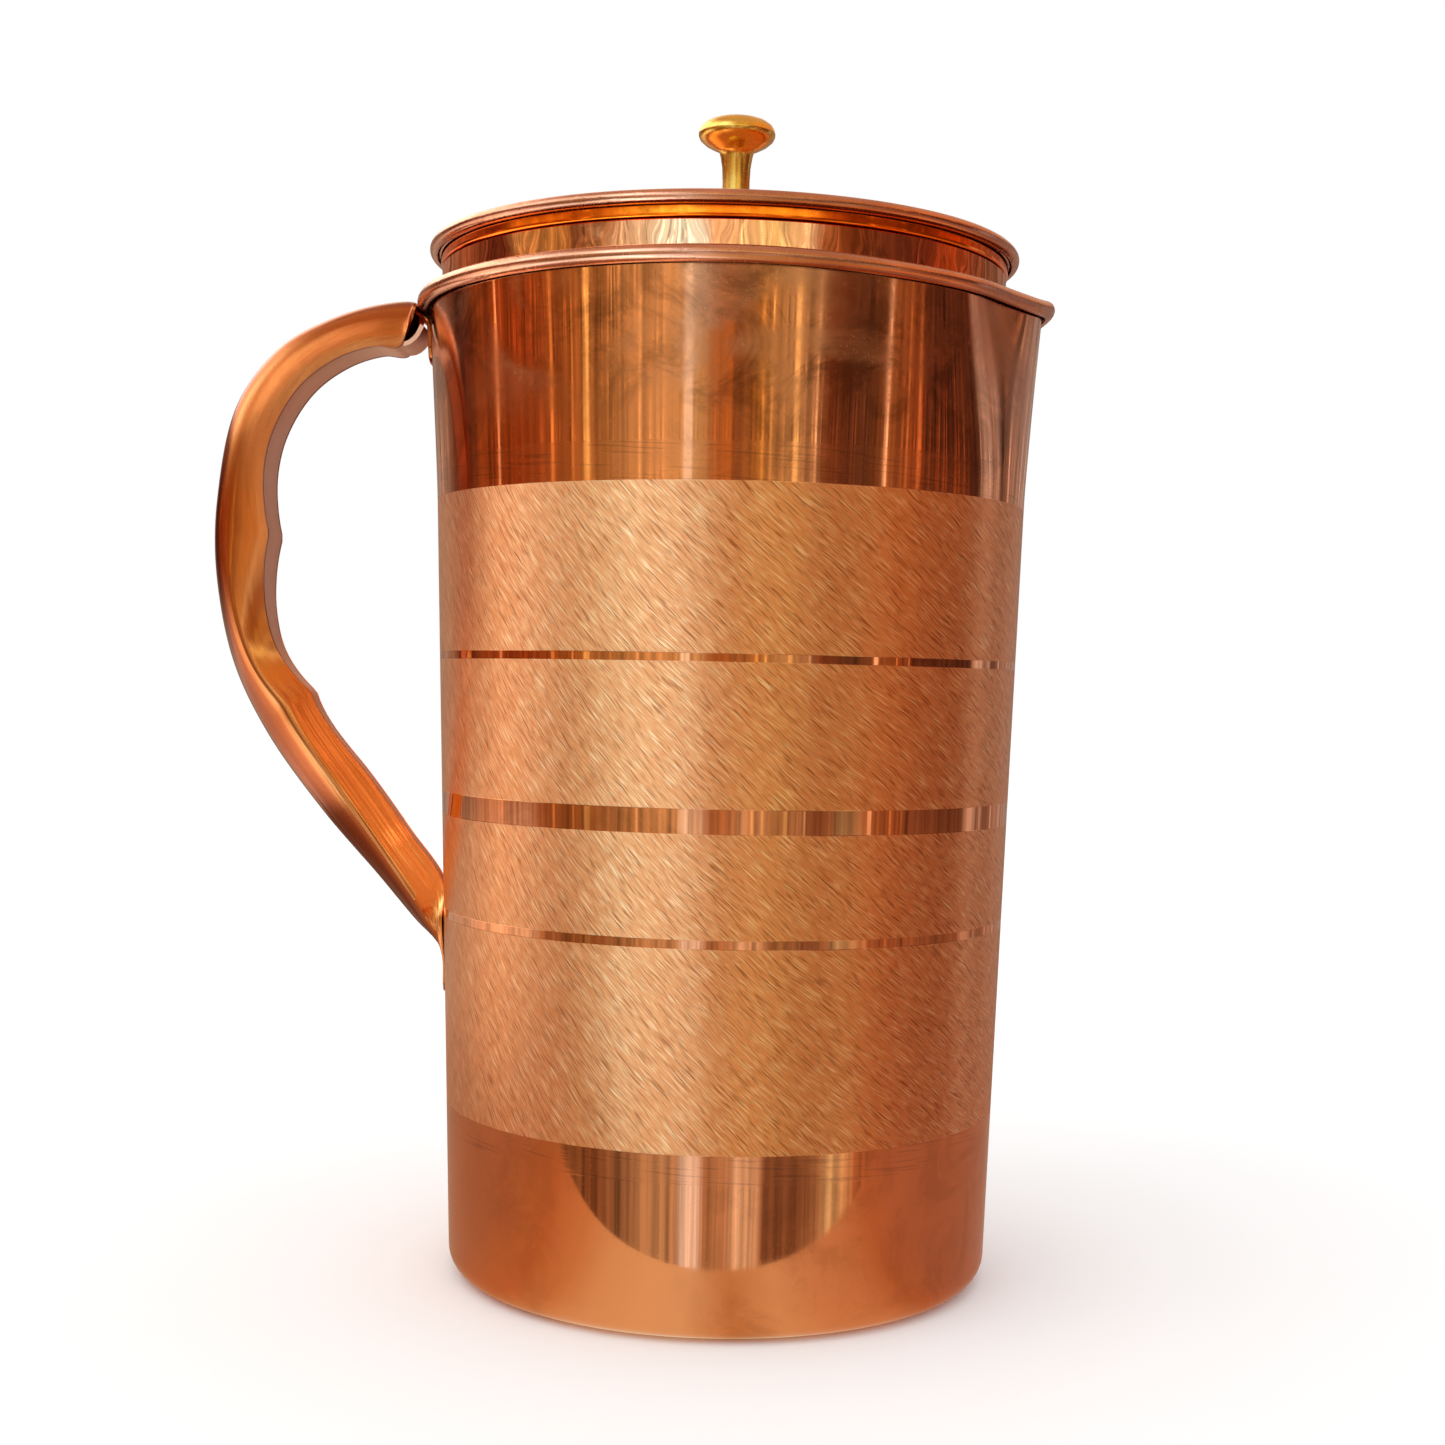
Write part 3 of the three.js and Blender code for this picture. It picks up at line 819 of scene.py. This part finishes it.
def makeHandleCopper(name, values):
    material, tree, shader, place = newFinish(name)
    sheet = addNode(tree, "ShaderNodeUVMap", uv_map="sheet").outputs[0]
    across, along = addNode(tree, "ShaderNodeSeparateXYZ", {0: sheet}).outputs[0:2]
    width = handleFinish["width"]
    across = times(tree, across, width)
    along = times(tree, along, handleFinish["length"])
    wear = placeGroup(tree, handling, {"Place": place})
    lines = linesOn(tree, across, along, handleFinish["lines"])
    shade = calc(tree, "MULTIPLY_ADD", lines["Dark"], 0.25, times(tree, wear["Patches"], 0.55))
    colour = mixColour(tree, shade, opaque(values["colour"]), opaque(values["shade"]))
    # painted highlight along the fold, and painted reflection of the jug on the side towards it
    aside = calc(tree, "ABSOLUTE", calc(tree, "MULTIPLY_ADD", across, 2 / width, -1))
    crest = fade(tree, calc(tree, "ABSOLUTE", calc(tree, "SUBTRACT", aside, 0.47)), 0.13, 0.0)
    crest = times(tree, crest, fade(tree, along, 55, 135, 0, 0.8))
    # painted reflection: the side towards the jug is made brighter
    inside = times(tree, fade(tree, aside, 0.46, 0.56), fade(tree, along, 98, 150))
    # painted shade: the back of the strip is darkened
    back = fade(tree, aside, 0.46, 0.16, 0, 0.85)
    colour = mixColour(tree, back, colour, opaque(values["back"]))
    colour = mixColour(tree, calc(tree, "MAXIMUM", crest, inside), colour, opaque(values["wearAndHighlight"]))
    tree.links.new(colour, shader.inputs["Base Color"])
    rough = calc(tree, "MULTIPLY_ADD", wear["Patches"], 0.10, values["rough"])
    rough = calc(tree, "MULTIPLY_ADD", wear["Hairlines"], 0.02, rough)
    tree.links.new(rough, shader.inputs["Roughness"])
    relief = bumpOf(tree, wear["Waves"], 0.25)
    furrowPlace = joined(tree, across, times(tree, along, 0.06))
    furrows = noiseOf(tree, furrowPlace, 0.7, 2, 0.5)
    furrows = times(tree, furrows, fade(tree, along, 125, 142, 0.12, 1.0))
    relief = bumpOf(tree, furrows, values["furrow"], 1.0, relief)
    relief = bumpOf(tree, lines["Height"], 0.003, 1.0, relief)
    tree.links.new(relief, shader.inputs["Normal"])
    return material


def makePlainMetal(name, colour, dull, rough):
    material, tree, shader, place = newFinish(name)
    wear = placeGroup(tree, handling, {"Place": place})
    shade = mixColour(tree, times(tree, wear["Patches"], 0.5), opaque(colour), opaque(dull))
    tree.links.new(shade, shader.inputs["Base Color"])
    roughness = calc(tree, "MULTIPLY_ADD", wear["Patches"], 0.14, rough)
    roughness = calc(tree, "MULTIPLY_ADD", wear["Hairlines"], 0.12, roughness)
    tree.links.new(roughness, shader.inputs["Roughness"])
    height, around, depth = roundCoordinates(tree, place)
    rings = linesOn(tree, height, around, {"Spacing": 0.3, "Length": 60.0})
    relief = bumpOf(tree, rings["Height"], 0.002)
    tree.links.new(relief, shader.inputs["Normal"])
    return material


bodyCopper = makeBodyCopper()
insideCopper = makeSheetCopper("insideCopper")
beadCopper = makeSheetCopper("beadCopper")
lidCopper = makeSheetCopper("lidCopper")
skirtCopper = makeSheetCopper("skirtCopper")
coveCopper = makeSheetCopper("coveCopper")
shellCopper = makeHandleCopper("shellCopper", handleFinish["shell"])
gripCopper = makeHandleCopper("gripCopper", handleFinish["grip"])
turnedBrass = makePlainMetal("turnedBrass", (0.78, 0.44, 0.09), (0.50, 0.24, 0.06), 0.2)
ironWire = makePlainMetal("ironWire", (0.30, 0.28, 0.27), (0.20, 0.11, 0.07), 0.5)
print("finishes ready")


jug = {
    "rimHeight": 176.9,
    "baseRadius": 49.2,
    "lean": 0.0325,
    "sheet": 0.6,
    "corner": 4.5,
    "flare": 0.95,
    "mouth": 36,
    "rollInner": 0.8,
    "rollOuter": 1.4,
    "around": 180,
}

lip = {
    "pinch": 2.7,
    "pinchAngle": 0.52,
    "pinchWidth": 0.26,
    "out": 1.0,
    "rise": 1.9,
    "tipWidth": 0.2,
    "dip": 1.0,
    "dipAngle": 0.95,
    "dipWidth": 0.4,
}


def wallRadius(height):
    up = (height - (jug["rimHeight"] - jug["mouth"])) / jug["mouth"]
    up = min(max(up, 0), 1.2)
    return jug["baseRadius"] + jug["lean"] * height + jug["flare"] * up ** 1.2


def hump(apart, width):
    return math.exp(-(apart / width) ** 2)


def formLip(piece, level=False):
    # the wall is pinched on both sides of the lip and its tip is drawn out and up
    for corner in piece.data.vertices:
        place = corner.co
        radius = math.hypot(place.x, place.y)
        if radius < 1 * mm:
            continue
        up = (place.z / mm - (jug["rimHeight"] - jug["mouth"])) / jug["mouth"]
        strength = min(max(up, 0), 1) ** 1.5
        side = abs(math.atan2(place.y, place.x))
        out = lip["out"] * hump(side, lip["tipWidth"])
        out -= lip["pinch"] * hump(side - lip["pinchAngle"], lip["pinchWidth"])
        rise = lip["rise"] * hump(side, lip["tipWidth"])
        rise -= lip["dip"] * hump(side - lip["dipAngle"], lip["dipWidth"])
        scale = (radius + out * strength * mm) / radius
        place.x *= scale
        place.y *= scale
        if not level:
            place.z += rise * strength ** 2 * mm


rimZ = jug["rimHeight"] - jug["rollOuter"]
rimCentre = wallRadius(rimZ) + jug["rollInner"]


def buildBody():
    sheet = jug["sheet"]
    cornerX = wallRadius(jug["corner"]) - jug["corner"]
    wall = [12 + 8 * i for i in range(17)]
    mouthHeights = [142 + 2.5 * i for i in range(14)]
    outside = [(wallRadius(z), z) for z in wall + mouthHeights]
    inside = [(wallRadius(z) - sheet, z) for z in reversed(wall + mouthHeights)]
    outline = [(0, 0), (25, 0), (40, 0)]
    outline += arcPoints(cornerX, jug["corner"], jug["corner"], -90, 0, 10)
    outline += outside
    outline += arcPoints(rimCentre, rimZ, jug["rollInner"], 180, -100, 14)
    outline += arcPoints(rimCentre, rimZ, jug["rollOuter"], -100, 180, 22)
    outline += inside
    outline += arcPoints(cornerX, jug["corner"], jug["corner"] - sheet, 0, -90, 8)
    outline += [(40, sheet), (25, sheet), (0, sheet)]
    piece = turnOutline("jugShell", outline, jug["around"], closed=False)

    def chooseFinish(middle, normal):
        radius = math.hypot(middle.x, middle.y) / mm
        height = middle.z / mm
        if math.hypot(radius - rimCentre, height - rimZ) < jug["rollOuter"] + 0.1:
            return 2
        outward = normal.x * middle.x + normal.y * middle.y
        if outward < 0 or (normal.z > 0.7 and height < 20):
            return 1
        return 0

    paintFaces(piece, [bodyCopper, insideCopper, beadCopper], chooseFinish)
    formLip(piece)
    smoothPiece(piece)
    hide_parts("jug_body")
    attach(piece, "jug")
    return piece


seat = {"depth": 10.7, "width": 6, "flange": 5, "sheet": 0.8, "gap": 0.3}


def buildSeat():
    top = jug["rimHeight"] - seat["depth"]
    low = top - seat["flange"]
    sheet = seat["sheet"]

    def touch(height):
        return wallRadius(height) - jug["sheet"] - seat["gap"]

    outline = [
        (touch(top) - seat["width"], top - sheet),
        (touch(top) - sheet - 0.8, top - sheet),
        (touch(top) - sheet, top - sheet - 0.8),
        (touch(low) - sheet, low),
        (touch(low), low),
        (touch(top), top - 0.8),
        (touch(top) - 0.24, top - 0.24),
        (touch(top) - 0.8, top),
        (touch(top) - seat["width"], top),
    ]
    piece = turnOutline("lidLedge", outline, jug["around"])
    piece.data.materials.append(insideCopper)
    formLip(piece, level=True)
    smoothPiece(piece)
    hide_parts("lid_seat")
    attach(piece, "jug")


buildBody()
buildSeat()
print("jug body and ledge built")


# Each station gives how far the inner and the outer edge stand off the wall, how far they are
# below the top of the rim, and the width of the strip there, in millimetres.
handle = {
    "stations": [
        ((0.12, 11.4), (0.05, 11.4), 5),
        ((0.12, 10.8), (0.05, 10.8), 9),
        ((0.12, 9.0), (0.05, 9.0), 10.5),
        ((0.12, 6.0), (0.05, 6.0), 10.5),
        ((0.25, 4.2), (0.15, 4.1), 11),
        ((1.00, 3.2), (0.85, 3.05), 11.4),
        ((2.00, 2.5), (1.85, 2.3), 11.8),
        ((2.50, 1.2), (2.25, 0.8), 12),
        ((5.6, 9.0), (3.2, 0.0), 12.2),
        ((10.2, 9.1), (10.4, 0.7), 12.3),
        ((16.7, 11.2), (19.8, 3.8), 12.5),
        ((23.9, 16.4), (28.4, 8.8), 12.6),
        ((29.6, 25.4), (36.8, 19.5), 12.6),
        ((32.0, 37.4), (41.2, 37.0), 12.6),
        ((32.2, 51.0), (41.7, 51.0), 12.6),
        ((30.4, 63.5), (38.9, 66.8), 12.6),
        ((24.6, 74.6), (32.8, 80.0), 12.6),
        ((14.8, 86.2), (22.9, 94.0), 12),
        ((6.4, 97.9), (12.5, 106.1), 11.2),
        ((0.3, 107.0), (5.4, 114.6), 10.2),
        ((0.3, 114.0), (1.5, 118.6), 9.2),
        ((0.1, 121.0), (0.7, 121.0), 9),
        ((0.1, 125.4), (0.7, 125.4), 8.4),
        ((0.1, 127.0), (0.7, 127.0), 5),
    ],
    "sheet": 0.6,
    "rows": 230,
    "columns": 32,
    "scallops": (0.585, 0.69),
    "scallopHeight": 1.8,
    "scallopWidth": 0.045,
    "roundness": 0.88,
    "creaseFrom": (0.57, 0.72),
    "creaseTo": (0.87, 0.82),
    "creaseHeight": 0.36,    # as a share of the depth, at its upper end
    "creaseClimb": 0.34,
    "tabsBefore": (0.2, 0.14),
    "tabsAfter": (0.88, 0.92),
    "wallAcross": 112,
    "foot": 0.42,            # width between the edges where it is folded
}


def smoothThrough(points, run):
    # a curve that passes through every point, evened out by the distances between them
    last = len(points) - 1
    exact = min(max(run, 0), 1) * last
    index = min(int(exact), last - 1)
    share = exact - index
    p1 = points[index]
    p2 = points[index + 1]
    p0 = points[index - 1] if index > 0 else p1 * 2 - p2
    p3 = points[index + 2] if index + 2 <= last else p2 * 2 - p1
    d0 = (p1 - p0).length ** 0.5
    d1 = (p2 - p1).length ** 0.5
    d2 = (p3 - p2).length ** 0.5
    t1 = ((p1 - p0) / d0 - (p2 - p0) / (d0 + d1) + (p2 - p1) / d1) * d1
    t2 = ((p2 - p1) / d1 - (p3 - p1) / (d1 + d2) + (p3 - p2) / d2) * d1
    a = p1 * 2 - p2 * 2 + t1 + t2
    b = p2 * 3 - p1 * 3 - t1 * 2 - t2
    return ((a * share + b) * share + t1) * share + p1


def handlePoint(pair):
    height = jug["rimHeight"] - pair[1]
    return Vector((-(wallRadius(height) + pair[0]), 0, height))


innerEdge = [handlePoint(s[0]) for s in handle["stations"]]
outerEdge = [handlePoint(s[1]) for s in handle["stations"]]
widths = [s[2] for s in handle["stations"]]


def handleSection(run):
    inner = smoothThrough(innerEdge, run)
    outer = smoothThrough(outerEdge, run)
    out = (outer - inner).normalized()
    for place in handle["scallops"]:
        rise = max(0, 1 - abs(run - place) / handle["scallopWidth"])
        inner = inner - out * handle["scallopHeight"] * rise ** 2
    depth = (outer - inner).length
    exact = run * (len(widths) - 1)
    index = min(int(exact), len(widths) - 2)
    half = (widths[index] + (widths[index + 1] - widths[index]) * (exact - index)) / 2
    return inner, out, depth, half


def foldShape(turn, crease, creaseHeight):
    # shares of the width and of the depth, for a turn of 0 at an edge and 1 at the back
    angle = turn * math.pi / 2
    across = math.cos(angle) ** handle["roundness"]
    up = math.sin(angle) ** handle["roundness"]
    if turn < 0.5:
        foldAcross = handle["foot"] + (1 - handle["foot"]) * turn * 2
        foldUp = creaseHeight * turn * 2
    else:
        rest = (turn - 0.5) * 2
        foldAcross = (1 - rest) ** 0.9
        foldUp = creaseHeight + (1 - creaseHeight) * rest ** 0.85
    return across + (foldAcross - across) * crease, up + (foldUp - up) * crease


def smoothStep(value, low, high):
    share = min(max((value - low) / (high - low), 0), 1)
    return share * share * (3 - 2 * share)


def creaseAt(run):
    # how sharply the strip is folded at its widest, and how high that fold lies
    setsIn = smoothStep(run, *handle["creaseFrom"])
    fadesOut = smoothStep(run, *handle["creaseTo"])
    climb = handle["creaseClimb"] * smoothStep(run, 0.68, 0.86)
    return setsIn * fadesOut, handle["creaseHeight"] + climb


def layGrid(name, columns, rows):
    selectNothing()
    bpy.ops.mesh.primitive_grid_add(
        x_subdivisions=columns, y_subdivisions=rows, size=1, location=(0, 0, 0)
    )
    sheet = bpy.context.active_object
    sheet.name = name
    sheet.data.name = name
    sheet.data.uv_layers[0].name = "sheet"
    return sheet


def closeSheet(piece, thickness, offset):
    editOn(piece)
    bpy.ops.mesh.select_all(action="SELECT")
    bpy.ops.mesh.normals_make_consistent(inside=False)
    editOff()
    applyModifier(piece, "SOLIDIFY", thickness=thickness * mm, offset=offset)


def buildShell():
    # a flat strip, wrapped over the handle's back from edge to edge
    piece = layGrid("handleShell", handle["columns"], handle["rows"])
    for corner in piece.data.vertices:
        aside = corner.co.x * 2
        run = corner.co.y + 0.5
        inner, out, depth, half = handleSection(run)
        turn = 1 - abs(aside)
        crease, creaseHeight = creaseAt(run)
        across, up = foldShape(turn, crease, creaseHeight)
        side = 1 if aside > 0 else -1
        place = inner + out * (up * depth) + Vector((0, side * across * half, 0))
        upper = smoothStep(run, *handle["tabsBefore"])
        lower = smoothStep(run, *handle["tabsAfter"])
        place.x += max(upper, lower) * place.y ** 2 / handle["wallAcross"]   # tabs follow the wall
        corner.co = place * mm
    closeSheet(piece, handle["sheet"], -1)
    piece.data.materials.append(shellCopper)
    smoothPiece(piece, 75)
    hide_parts("handle_shell")
    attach(piece, "jug")
    return piece


grip = {
    "sheet": 0.8,
    "side": 1,        # thickened towards the hollow of the shell
    "gap": 0.3,
    "from": 8 / 23,
    "to": 19.05 / 23,
    "rows": 150,
    "columns": 8,
    "curlShare": 0.045,
    "curlHalf": 6.5,
    "curl": [(0.95, 5.2), (2.1, 7.2), (3.8, 8.6)],   # upper end, bent up to the wall
}


def buildGrip():
    piece = layGrid("handleGrip", grip["columns"], grip["rows"])
    curlPoints = [handlePoint(p) for p in grip["curl"]]
    curlPoints.append(handleSection(grip["from"])[0])
    curlShare = grip["curlShare"]
    for corner in piece.data.vertices:
        aside = corner.co.x * 2
        run = corner.co.y + 0.5
        if run < curlShare:
            place = smoothThrough(curlPoints, run / curlShare)
            half = grip["curlHalf"]
        else:
            share = (run - curlShare) / (1 - curlShare)
            run = grip["from"] + (grip["to"] - grip["from"]) * share
            place, out, depth, half = handleSection(run)
            half *= 1 - (1 - handle["foot"]) * creaseAt(run)[0]
        half = half - handle["sheet"] - grip["gap"]
        corner.co = (place + Vector((0, aside * half, 0))) * mm
    closeSheet(piece, grip["sheet"], grip["side"])
    piece.data.materials.append(gripCopper)
    smoothPiece(piece, 50)
    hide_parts("handle_grip")
    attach(piece, "jug")
    return piece


buildShell()
buildGrip()
print("handle built")


lid = {
    "shift": -2,
    "bottom": 182.4,
    "skirtRadius": wallRadius(166.2) - 3.6,
    "skirtHeight": 15.6,
    "skirtSheet": 0.6,
    "sheet": 0.5,
    "step": 0.5,
    "rollInner": 0.65,
    "rollOuter": 1.15,
    "edgeHeight": 4,
    "gutter": 2.6,
    "rise": 7,
    "crown": 9,
    "cove": [      # gutter to rolled edge: radius beyond the upright's, and height
        (-1.1, -0.1), (-0.7, -0.2), (-0.4, -0.17), (-0.24, 0.0), (-0.20, 0.2),
        (-0.20, 0.5), (-0.20, 1.5), (-0.18, 1.8), (0.06, 1.95),
    ],
    "around": 180,
}


def moveMesh(piece, x, z):
    editOn(piece)
    bpy.ops.mesh.select_all(action="SELECT")
    bpy.ops.transform.translate(value=(x * mm, 0, z * mm))
    editOff()


def buildLidTop():
    upright = lid["skirtRadius"] + lid["step"]
    sheet = lid["sheet"]
    domeEdge = upright - sheet - lid["gutter"]
    rollX = upright + lid["rollInner"]
    rollZ = lid["edgeHeight"] - lid["rollOuter"]

    def crownAt(height):
        points = []
        for i in range(11):
            share = i / 10
            radius = lid["crown"] + (domeEdge - lid["crown"]) * share
            points.append((radius, height + lid["rise"] * (1 - share ** 2)))
        return points

    outline = [(0, lid["rise"])]
    outline += crownAt(0)
    outline += [(upright + x, z) for x, z in lid["cove"]]
    outline += arcPoints(rollX, rollZ, lid["rollInner"], -150, -460, 12)
    outline += arcPoints(rollX, rollZ, lid["rollOuter"], -100, 180, 18)
    outline += [
        (upright - sheet, 1.2),
        (upright - sheet - 0.1, 0.8),
        (upright - sheet - 0.4, sheet),
    ]
    outline += list(reversed(crownAt(sheet)))
    outline += [(0, lid["rise"] + sheet)]
    piece = turnOutline("lidTop", outline, lid["around"], closed=False)

    def chooseFinish(middle, normal):
        radius = math.hypot(middle.x, middle.y) / mm
        height = middle.z / mm
        if math.hypot(radius - rollX, height - rollZ) < lid["rollOuter"] + 0.1:
            return 1
        outward = normal.x * middle.x + normal.y * middle.y
        return 2 if outward > 0 and radius > upright - 0.6 else 0

    # the cove faces get coveCopper, a painted reflection of light bounced between copper surfaces
    paintFaces(piece, [lidCopper, beadCopper, coveCopper], chooseFinish)
    moveMesh(piece, lid["shift"], lid["bottom"])
    smoothPiece(piece)
    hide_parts("lid_top")
    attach(piece, "lid")


def buildSkirt():
    outer = lid["skirtRadius"]
    inner = outer - lid["skirtSheet"]
    low = -0.3 - lid["skirtHeight"]
    outline = [
        (inner, low + 0.1),
        (inner + 0.1, low),
        (outer - 0.15, low),
        (outer, low + 0.15),
        (outer, low + 0.6),
        (outer, -7),
        (outer, -1.1),
        (outer, -0.55),
        (outer - 0.25, -0.3),
        (inner + 0.1, -0.3),
        (inner, -0.5),
        (inner, -7),
    ]
    piece = turnOutline("lidSkirt", outline, lid["around"])
    piece.data.materials.append(skirtCopper)
    moveMesh(piece, lid["shift"], lid["bottom"])
    smoothPiece(piece)
    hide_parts("lid_skirt")
    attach(piece, "lid")


knob = {
    "offset": 1.8,
    "outline": [
        (0, 8.3), (1.3, 8.3), (1.5, 8.1), (1.5, 0.15), (1.65, 0),
        (5.0, 0), (5.2, 0.2), (5.2, 0.8), (4.9, 1.05), (3.9, 1.5), (3.0, 2.4), (2.62, 4.0),
        (2.5, 6.5), (2.5, 10), (2.62, 12.6), (2.95, 14.6), (3.2, 15.5), (3.5, 15.75),
        (4.6, 16.25), (5.8, 16.9), (6.75, 17.75), (7.05, 18.4), (7.08, 18.9),
        (6.9, 19.6), (6.5, 20.25), (5.6, 20.9), (4.4, 21.35), (2.6, 21.75), (0, 21.9),
    ],
}


def buildKnob():
    piece = turnOutline("brassKnob", knob["outline"], 96, closed=False)
    piece.data.materials.append(turnedBrass)
    foot = lid["bottom"] + lid["rise"] + lid["sheet"] + 0.3
    moveMesh(piece, lid["shift"] + knob["offset"], foot)
    smoothPiece(piece, 40)
    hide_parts("knob")
    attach(piece, "lid")


buildLidTop()
buildSkirt()
buildKnob()
paintNode("rim_wire", ironWire)
paintNode("lid_edge_wire", ironWire)
paintNode("knob_screw", turnedBrass)
paintNode("knob_washer", turnedBrass)
print("lid built")

selectNothing()
